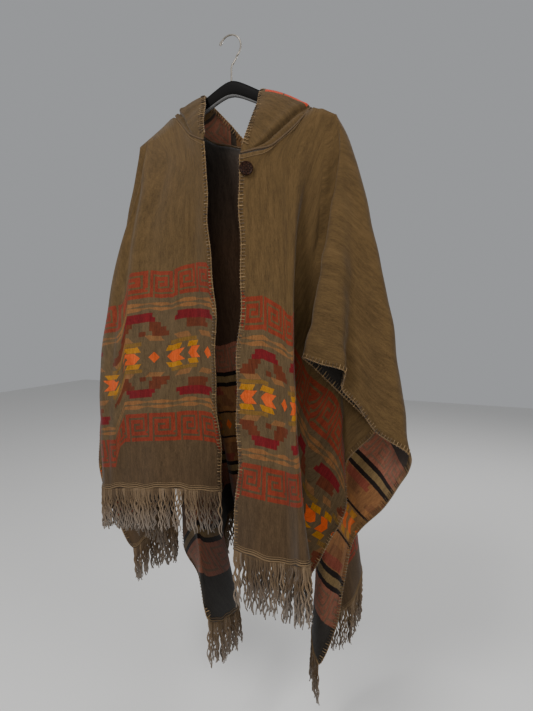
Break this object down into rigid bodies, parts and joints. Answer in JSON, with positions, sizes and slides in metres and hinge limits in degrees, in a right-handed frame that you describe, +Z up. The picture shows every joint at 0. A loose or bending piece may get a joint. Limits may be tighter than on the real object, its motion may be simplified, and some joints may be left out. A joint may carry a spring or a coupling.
{
  "type": "hooded wool poncho with a fringed hem on a clothes hanger",
  "caption": "Open-front hooded Andean poncho in brushed wool with Greek-key and lozenge bands, a fringed hem and a carved button, hanging on a black clothes hanger",
  "frame": {"origin": "Inside top of the hanger hook's bend, where it rests on a rail", "axes": "+Z up; the garment's front opening faces -Y and the wearer's left side is at +X"},
  "size_m": [0.859, 0.5422, 1.6252],
  "materials": {
    "cloth": "brushed olive-brown wool with woven bands of red, rust, tan, mustard and orange; the inside shows the same bands in reverse on dark brown",
    "hood_cloth": "the same brushed wool, with a whip-stitched rim",
    "yarn": "loose twisted wool yarn in browns, tan and orange",
    "horn": "dark brown, carved, satin",
    "plastic": "black moulded plastic, slightly glossy",
    "steel": "bright bent steel wire"
  },
  "bodies": {
    "root": {"poncho_body": "cloth", "hood": "hood_cloth", "fringe_front_left": "yarn", "fringe_front_right": "yarn", "fringe_back": "yarn", "button": "horn", "hanger_body": "plastic", "hook": "steel"}
  },
  "joints": []
}
